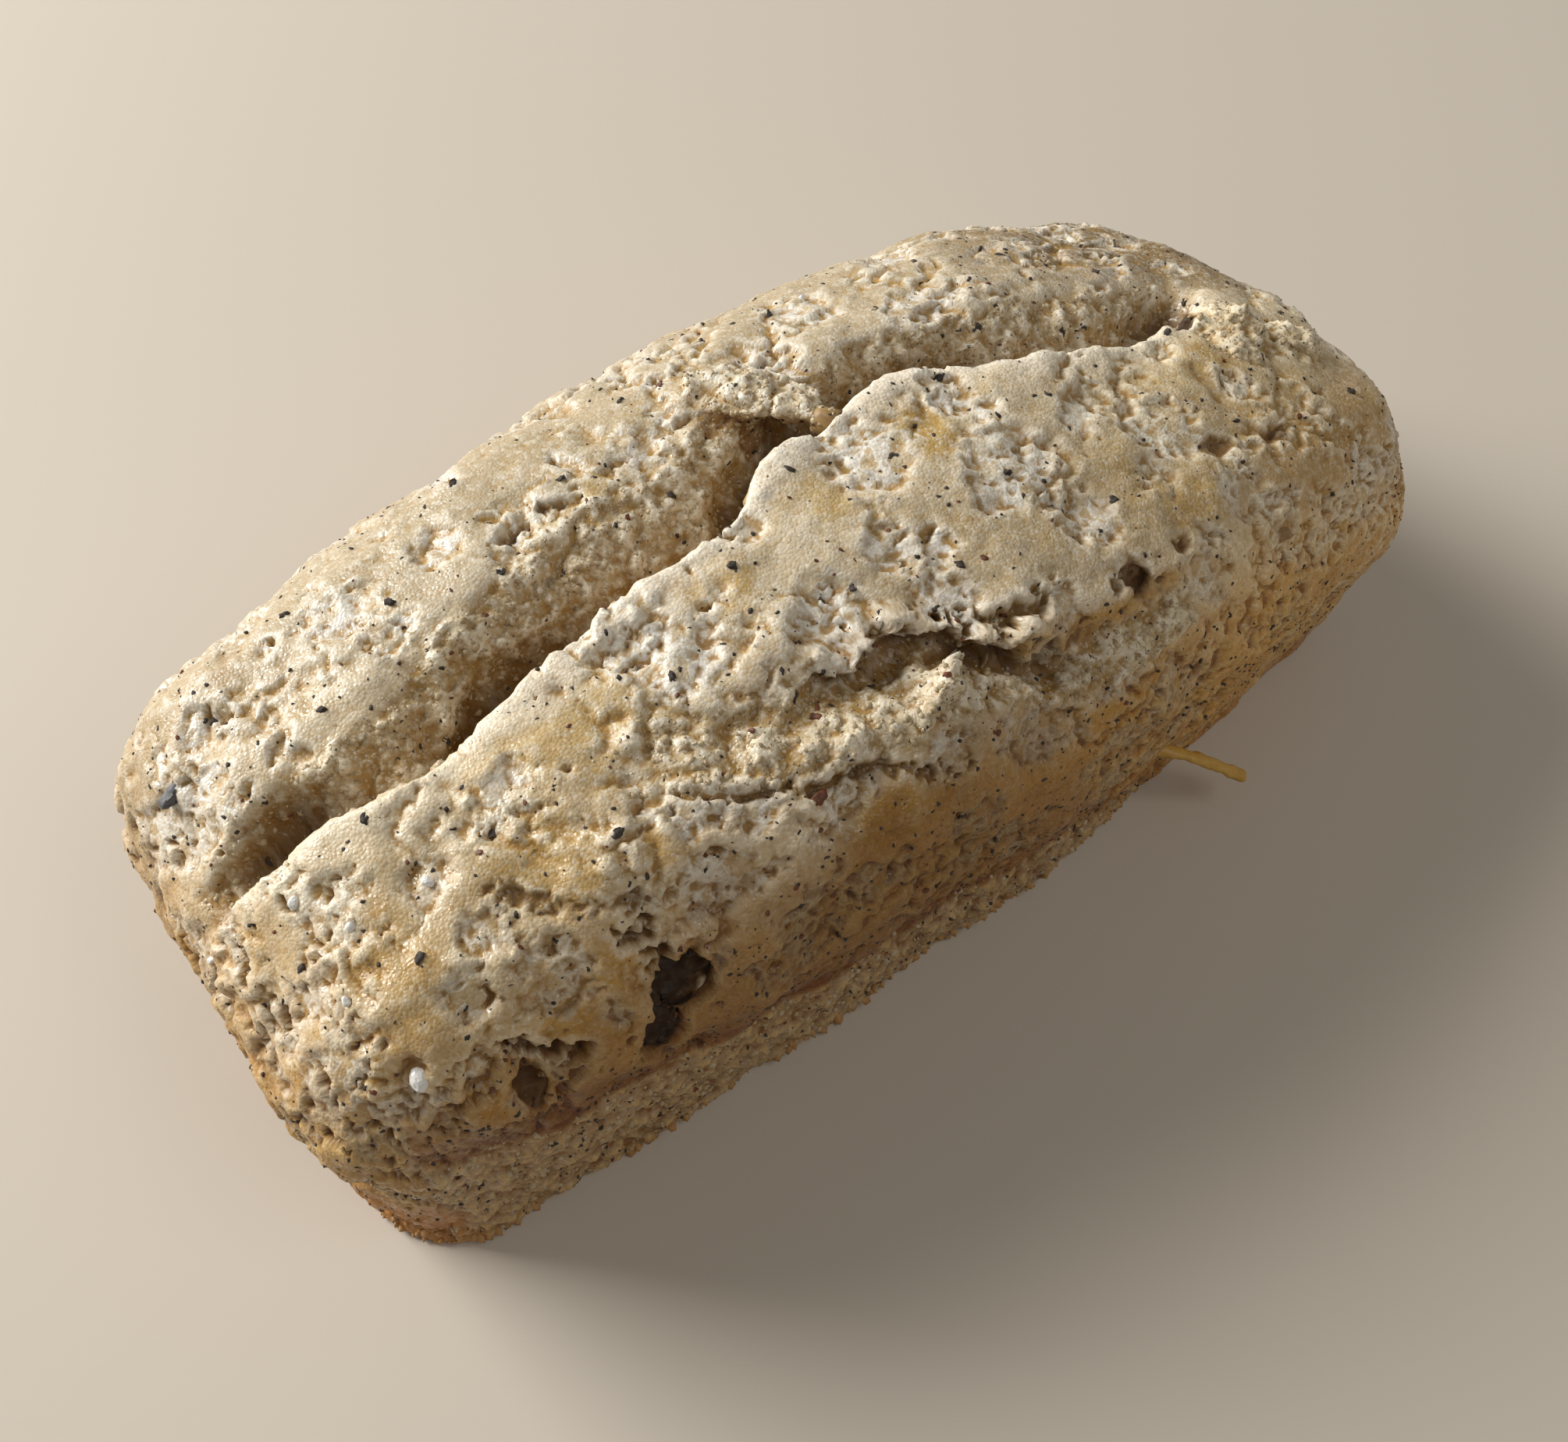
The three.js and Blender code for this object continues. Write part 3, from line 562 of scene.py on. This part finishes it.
# Painted shade in the crease over the strip on the long wall, deeper towards the near end
crease_shade = painted("under_strip").smooth(-9.0, -1.0) * (1 - torn)
colour = crease_shade.blend(colour, colour.vector("MULTIPLY", (0.84, 0.66, 0.46)))
near_crease_shade = crease_shade * (1 - from_near_end.smooth(-52.0, -36.0))
colour = near_crease_shade.blend(colour, colour.vector("MULTIPLY", (0.72, 0.62, 0.5)))
far_flank = from_near_end.smooth(16.0, 36.0) * (1 - across.smooth(-31.0, -25.0)) * (1 - torn)
colour = far_flank.blend(colour, colour.vector("MULTIPLY", (1.20, 1.15, 1.0)))
near_tone = (1 - from_near_end.smooth(-56.0, -24.0)) * (1 - across.smooth(0.0, 12.0))
near_tone = near_tone * painted("lean").smooth(0.45, 0.8)
colour = near_tone.blend(colour, colour.vector("MULTIPLY", (0.91, 0.87, 0.78)))
far_tone = from_near_end.smooth(8.0, 36.0) * (1 - across.smooth(-8.0, 4.0))
far_tone = far_tone * painted("lean").smooth(0.45, 0.8)
colour = far_tone.blend(colour, colour.vector("MULTIPLY", (1.0, 0.975, 0.90)))
colour = (painted("sunk_leaf") * 0.5).blend(colour, (0.12, 0.105, 0.095, 1))
# Painted shade: crevices, cracks, undercuts and deep places painted dark brown
crevice_shade = painted("deep").smooth(0.25, 1.4).most(painted("on_crevice"))
crevice_shade = crevice_shade * (0.8 + painted("clump") * 0.5)
colour = crevice_shade.blend(colour, (0.10, 0.046, 0.014, 1))
# Painted shade inside the hollows: near black deep in, amber towards the rim
hollow_shade = hollow * painted("hollow_dark").smooth(0.3, 0.9)
inside = hollow_shade * (1 - painted("hollow_gap").smooth(1.0, 1.3) * 0.7)
inside = inside.blend((0.24, 0.10, 0.02, 1), (0.026, 0.011, 0.005, 1))
colour = (hollow * (0.45 + hollow_shade * 0.5)).blend(colour, inside)
tree.links.new(colour.socket, shader.inputs["Base Color"])
roughness = 0.5 - glint.smooth(0.5, 0.9) * 0.35 - shown * 0.1 + hollow_shade * 0.45
tree.links.new(roughness.socket, shader.inputs["Roughness"])
bump = Wire.node(tree, "ShaderNodeBump", Height=1 - grain.out("Distance"), Strength=0.6, Distance=0.1 * MM)
tree.links.new(bump.socket, shader.inputs["Normal"])
shader.inputs["Specular IOR Level"].default_value = 0.45
loaf.data.materials.append(crust)
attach(loaf, "root")
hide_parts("loaf")

# Crumb grains: small moist beads of the torn crumb that stand on the split's slope and in the tear.
# They are the loaf's own inside, still fixed to it where the crust pulled away.
grain_sizes = {"Grains per mm2": 2.6, "Smallest": 0.16, "Largest": 0.6, "Seed": 5}


def beads(name, mesh, tree, points, turn, scale, squash, rough, material, smooth_faces, sizes, facets=1):
    """Uneven beads on points, made into one piece: squashed, turned, scaled, and never below the table."""
    bead = Wire.node(tree, "GeometryNodeMeshIcoSphere", Radius=1.0, Subdivisions=facets)
    bead = Wire.node(tree, "GeometryNodeTransform", Geometry=bead.out("Mesh"), Scale=squash)
    made = Wire.node(tree, "GeometryNodeInstanceOnPoints",
                     Points=points, Instance=bead, Rotation=turn, Scale=scale)
    made = Wire.node(tree, "GeometryNodeRealizeInstances", Geometry=made)
    at = Wire.node(tree, "GeometryNodeInputPosition").vector("SCALE", Scale=1 / MM)
    uneven = at.noise(0.5, seed=1.0, output="Color").vector("SCALE", Scale=rough * MM)
    made = Wire.node(tree, "GeometryNodeSetPosition", Geometry=made, Offset=uneven)
    across, deep, high = Wire.node(tree, "GeometryNodeInputPosition").parts()
    above = Wire.node(tree, "ShaderNodeCombineXYZ", X=across, Y=deep, Z=high.most(0.0))
    made = Wire.node(tree, "GeometryNodeSetPosition", Geometry=made, Position=above)
    made = Wire.node(tree, "GeometryNodeSetShadeSmooth", Geometry=made, Shade_Smooth=smooth_faces)
    made = Wire.node(tree, "GeometryNodeSetMaterial", Geometry=made, Material=material)
    piece = bpy.data.objects.new(name, mesh)
    bpy.context.collection.objects.link(piece)
    run_tree(piece, tree, made, sizes)
    needed = ("sharp_face", "material_index")
    for spare in [a.name for a in piece.data.attributes if not a.is_required and a.name not in needed]:
        piece.data.attributes.remove(piece.data.attributes[spare])
    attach(piece, "root")
    return piece


def scattered(name, sizes, density, spread, squash, rough, sink, material, smooth_faces):
    """Beads strewn over the loaf: density in each mm2, sizes by a seeded draw, sunk a little into the crust."""
    tree, size = nodes_tree(name, sizes)
    points = Wire.node(tree, "GeometryNodeDistributePointsOnFaces", Mesh=size["Geometry"],
                       Density=density(tree) * size[spread] / MM**2, Seed=size["Seed"])
    draw = Wire.node(tree, "FunctionNodeRandomValue", {"data_type": "FLOAT"}, Seed=size["Seed"])
    scale = (size["Smallest"] + (size["Largest"] - size["Smallest"]) * draw ** 2.5) * MM
    spin = Wire.node(tree, "FunctionNodeRandomValue", {"data_type": "FLOAT_VECTOR"},
                     Min=(-0.5, -0.5, -3.1), Max=(0.5, 0.5, 3.1), Seed=2)
    spin = Wire.node(tree, "FunctionNodeEulerToRotation", Euler=spin)
    turn = Wire.node(tree, "FunctionNodeRotateRotation", {"rotation_space": "LOCAL"},
                     Rotation=points.out("Rotation"), Rotate_By=spin)
    down = points.out("Normal").vector("SCALE", Scale=scale * -sink)
    settled = Wire.node(tree, "GeometryNodeSetPosition", Geometry=points.out("Points"), Offset=down)
    return beads(name, loaf.data.copy(), tree, settled, turn, scale, squash, rough, material,
                 smooth_faces, sizes)


def laid(name, spots, sizes, squash, rough, material, smooth_faces):
    """Beads laid one by one on the loaf from above: where along and across, half length, turn."""
    spots = np.array(spots, np.float32)
    mesh = bpy.data.meshes.new(name)
    mesh.from_pydata([(across * MM, deep * MM, 0.2) for across, deep, _, _ in spots.tolist()], [], [])
    keep_values(mesh, "half_length", spots[:, 2])
    keep_values(mesh, "turn", spots[:, 3])
    tree, size = nodes_tree(name, sizes)
    points = Wire.node(tree, "GeometryNodeMeshToPoints", Mesh=size["Geometry"])
    under = Wire.node(tree, "GeometryNodeObjectInfo", Object=loaf).out("Geometry")
    touch = Wire.node(tree, "GeometryNodeRaycast", Target_Geometry=under,
                      Ray_Direction=(0, 0, -1), Ray_Length=0.3)
    points = store(points, "facing", touch.out("Hit Normal"), "FLOAT_VECTOR")
    points = Wire.node(tree, "GeometryNodeSetPosition", Geometry=points, Position=touch.out("Hit Position"))
    facing, scale = named(tree, "facing", "FLOAT_VECTOR"), named(tree, "half_length") * MM
    points = Wire.node(tree, "GeometryNodeSetPosition", Geometry=points,
                       Offset=facing.vector("SCALE", Scale=scale * size["Sink"] * -1))
    turn = Wire.node(tree, "FunctionNodeAlignRotationToVector", {"axis": "Z"}, Vector=facing)
    spin = Wire.node(tree, "ShaderNodeCombineXYZ", Z=named(tree, "turn"))
    spin = Wire.node(tree, "FunctionNodeEulerToRotation", Euler=spin)
    turn = Wire.node(tree, "FunctionNodeRotateRotation", {"rotation_space": "LOCAL"},
                     Rotation=turn, Rotate_By=spin)
    return beads(name, mesh, tree, points, turn, scale, squash, rough, material, smooth_faces, sizes, 3)


def finish_of(name, light, dark, roughness, grain):
    """A plain matt finish that wavers between two colours over that many millimetres."""
    made = bpy.data.materials.new(name)
    made.use_nodes = True
    tree = made.node_tree
    shader = tree.nodes["Principled BSDF"]
    at = Wire.node(tree, "ShaderNodeTexCoord").out("Object").vector("SCALE", Scale=1 / MM)
    waver = at.noise(grain, detail=3) * 0.8 + 0.5
    tree.links.new(waver.blend(dark, light).socket, shader.inputs["Base Color"])
    tree.links.new((roughness + waver * 0.15).socket, shader.inputs["Roughness"])
    bump = Wire.node(tree, "ShaderNodeBump", Height=at.noise(0.2), Strength=0.4, Distance=0.05 * MM)
    tree.links.new(bump.socket, shader.inputs["Normal"])
    return made


moist_crumb = finish_of("moist_crumb", (0.60, 0.50, 0.34, 1), (0.38, 0.27, 0.14, 1), 0.3, 1.2)


def grain_density(tree):
    high = named(tree, "rest", "FLOAT_VECTOR").parts()[2].smooth(20.0, 30.0)
    return named(tree, "on_torn") * (0.25 + high * 0.75) * (1 - named(tree, "on_crevice"))


grains = scattered("crumb_grains", grain_sizes, grain_density, "Grains per mm2",
                   (1.0, 0.8, 0.75), 0.4, 0.45, moist_crumb, True)

# Crumb fringe: along the strip's foot the torn crumb ends in short ragged teeth, browned at the corner.
# They are shreds of the loaf's own crumb that stood against the tin.
tooth_sizes = {"Teeth per mm2": 0.8, "Smallest": 0.3, "Largest": 1.0, "Seed": 8}
toothed_crumb = finish_of("toothed_crumb", (0.48, 0.30, 0.13, 1), (0.40, 0.18, 0.035, 1), 0.5, 1.2)
fringe = scattered("crumb_fringe", tooth_sizes, lambda tree: named(tree, "on_fringe"), "Teeth per mm2",
                   (0.75, 0.75, 1.2), 0.6, 0.3, toothed_crumb, True)

# Tea leaf: black flecks of leaf stirred through the batter, that show all over the crust and crumb.
# The larger ones stand proud, and the largest of all lies near the near end.
leaf_sizes = {"Flecks per mm2": 0.21, "Smallest": 0.13, "Largest": 0.5, "Seed": 11}


def leaf_density(tree):
    at = named(tree, "rest", "FLOAT_VECTOR")
    clusters = (at.noise(9.0, detail=2, seed=30.0) + 0.25).smooth(-0.1, 0.5)
    return (0.3 + clusters) * (2.1 - named(tree, "lean") * 1.4) * named(tree, "off_base")


leaf = finish_of("tea_leaf", (0.11, 0.09, 0.075, 1), (0.018, 0.014, 0.012, 1), 0.7, 0.5)
leaf.node_tree.nodes["Principled BSDF"].inputs["Specular IOR Level"].default_value = 0.25
flecks = scattered("tea_leaf_flecks", leaf_sizes, leaf_density, "Flecks per mm2",
                   (1.0, 0.7, 0.45), 0.45, 0.3, leaf, True)
LEAF_SPOTS = [
    (137.4 * (i * 0.7548776662 % 1 - 0.5), 45.2 * (i * 0.5698402910 % 1 - 0.5), 0.62, i)
    for i in range(1, 45)
]
flakes = laid("tea_leaf_flakes", LEAF_SPOTS, {"Sink": 0.2}, (1.0, 0.62, 0.42), 0.7, leaf, True)
slaty_leaf = finish_of("slaty_leaf", (0.20, 0.20, 0.21, 1), (0.018, 0.017, 0.018, 1), 0.5, 1.1)
large_leaf = laid("large_tea_leaf", [(-67.0, 13.1, 1.9, 0.3)], {"Sink": 0.15},
                  (1.0, 0.5, 0.4), 0.9, slaty_leaf, True)

# Spice: red-brown flecks of ground spice among the leaf, fewer and smaller.
# They were stirred into the batter, and a few bits of husk stand out on the flank.
spice_sizes = {"Flecks per mm2": 0.016, "Smallest": 0.2, "Largest": 0.55, "Seed": 23}
spice = finish_of("ground_spice", (0.22, 0.07, 0.02, 1), (0.07, 0.02, 0.012, 1), 0.5, 0.6)
specks = scattered("spice_flecks", spice_sizes, lambda tree: named(tree, "off_base"), "Flecks per mm2",
                   (1.0, 0.7, 0.45), 0.25, 0.1, spice, False)
SPICE_SPOTS = [(-22.8, -26.0, 1.3, 0.2), (-17.6, -19.3, 0.6, 1.0), (-18.5, -20.1, 0.8, 2.0)]
husks = laid("spice_husks", SPICE_SPOTS, {"Sink": 0.1}, (1.0, 0.45, 0.3), 0.5, spice, True)

# Sugar: a few clear white grains that didn't melt, most of them towards the near end.
# They sit half sunk in the crust and catch the light.
SUGAR_SPOTS = [
    (-63.1, -24.0, 1.1, 1.2), (-61.1, -11.0, 0.6, 0.4), (-53.9, -12.2, 0.6, 2.0), (-63.8, -5.7, 0.65, 0.9),
    (-72.1, -0.5, 0.5, 2.6), (-64.5, -15.8, 0.6, 1.7), (14.6, 22.3, 0.5, 0.1),
]
clear_sugar = finish_of("clear_sugar", (0.9, 0.9, 0.88, 1), (0.75, 0.74, 0.7, 1), 0.08, 0.6)
sugar = laid("sugar_grains", SUGAR_SPOTS, {"Sink": 0.1}, (1.0, 0.75, 0.7), 0.25, clear_sugar, False)

# Peel: one shred of candied peel that sticks out low down on the long wall, towards the far end.
# It is a soft flat strand, baked into the crumb at one end.
PEEL_LINE = [
    (26.8, -30.2, 9.6), (29.4, -32.6, 9.0), (31.8, -34.6, 7.8), (34.2, -36.6, 6.2), (36.4, -38.4, 4.6),
]
peel_sizes = {"Half width": 0.85, "Flatness": 0.6, "Unevenness": 0.8}
peel_mesh = bpy.data.meshes.new("peel_shred")
steps = range(len(PEEL_LINE) - 1)
peel_mesh.from_pydata([Vector(spot) * MM for spot in PEEL_LINE], [(i, i + 1) for i in steps], [])
tree, size = nodes_tree("peel_shred", peel_sizes)
strand = Wire.node(tree, "GeometryNodeMeshToCurve", Mesh=size["Geometry"])
strand = Wire.node(tree, "GeometryNodeCurveSplineType", {"spline_type": "CATMULL_ROM"}, Curve=strand)
strand = Wire.node(tree, "GeometryNodeResampleCurve", Curve=strand, Count=28)
share = Wire.node(tree, "GeometryNodeSplineParameter").out("Factor")
strand = Wire.node(tree, "GeometryNodeSetCurveRadius", Curve=strand,
                   Radius=1 - share.smooth(0.85, 1.2) * 0.5)
profile = Wire.node(tree, "GeometryNodeCurvePrimitiveCircle", Resolution=10, Radius=MM).out("Curve")
profile = Wire.node(tree, "GeometryNodeTransform", Geometry=profile,
                    Scale=Wire.node(tree, "ShaderNodeCombineXYZ", X=size["Half width"],
                                    Y=size["Half width"] * size["Flatness"], Z=1.0))
strand = Wire.node(tree, "GeometryNodeCurveToMesh", Curve=strand, Profile_Curve=profile, Fill_Caps=True)
at = Wire.node(tree, "GeometryNodeInputPosition").vector("SCALE", Scale=1 / MM)
uneven = at.noise(1.2, detail=2, output="Color").vector("SCALE", Scale=size["Unevenness"] * MM)
strand = Wire.node(tree, "GeometryNodeSetPosition", Geometry=strand, Offset=uneven)
strand = Wire.node(tree, "GeometryNodeSetShadeSmooth", Geometry=strand)
candied = finish_of("candied_peel", (0.66, 0.42, 0.09, 1), (0.50, 0.27, 0.04, 1), 0.35, 1.5)
strand = Wire.node(tree, "GeometryNodeSetMaterial", Geometry=strand, Material=candied)
peel = bpy.data.objects.new("peel_shred", peel_mesh)
bpy.context.collection.objects.link(peel)
run_tree(peel, tree, strand, peel_sizes)
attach(peel, "root")

# The floor, lights and camera: a plain pale floor, one broad soft light from behind on the far side,
# and a faint fill from the front. The camera looks down on the near end and the long flank.
floor_mesh = bpy.data.meshes.new("floor")
half = 3.0
floor_corners = [(-half, -half, 0), (half, -half, 0), (half, half, 0), (-half, half, 0)]
floor_mesh.from_pydata(floor_corners, [], [(0, 1, 2, 3)])
floor = bpy.data.objects.new("floor", floor_mesh)
bpy.context.collection.objects.link(floor)
pale = bpy.data.materials.new("pale_floor")
pale.use_nodes = True
pale.node_tree.nodes["Principled BSDF"].inputs["Base Color"].default_value = (0.62, 0.56, 0.48, 1)
pale.node_tree.nodes["Principled BSDF"].inputs["Roughness"].default_value = 0.7
floor_mesh.materials.append(pale)


def soft_light(name, place, power, size, colour):
    lamp = bpy.data.lights.new(name, "AREA")
    lamp.energy, lamp.size, lamp.color = power, size, colour
    light = bpy.data.objects.new(name, lamp)
    light.location = place
    light.rotation_mode = "QUATERNION"
    light.rotation_quaternion = Vector(place).to_track_quat("Z", "Y")
    bpy.context.collection.objects.link(light)


soft_light("window", (-0.60, 1.04, 0.65), 28.3, 0.8, (1.0, 0.98, 0.94))
soft_light("room_fill", (0.5, -0.8, 1.3), 4.6, 0.9, (1.0, 0.95, 0.88))
world = bpy.data.worlds.new("room")
world.use_nodes = True
world.node_tree.nodes["Background"].inputs["Color"].default_value = (1.0, 0.96, 0.9, 1)
world.node_tree.nodes["Background"].inputs["Strength"].default_value = 0.16
bpy.context.scene.world = world
bpy.context.scene.view_settings.view_transform = "Standard"

azimuth, elevation = math.radians(-36.649), math.radians(58.8)
level = math.cos(elevation)
back = Vector((math.sin(azimuth) * level, -math.cos(azimuth) * level, math.sin(elevation)))
right = Vector((math.cos(azimuth), math.sin(azimuth), 0))
up = back.cross(right)
lens = bpy.data.cameras.new("camera")
lens.sensor_width = 36
lens.lens = 36 * 1801.78 / 2009
lens.shift_x = (1004.5 - 873.27) / 2009
lens.shift_y = (995.83 - 924) / 2009
lens.clip_start = 0.005
camera = bpy.data.objects.new("camera", lens)
turn = Matrix((right, up, back)).transposed().to_4x4()
stand = Vector((0, 0, 28)) + 151.771 * back - 14.606 * right - 19.97 * up
camera.matrix_world = Matrix.Translation(stand * MM) @ turn
bpy.context.collection.objects.link(camera)
bpy.context.scene.camera = camera
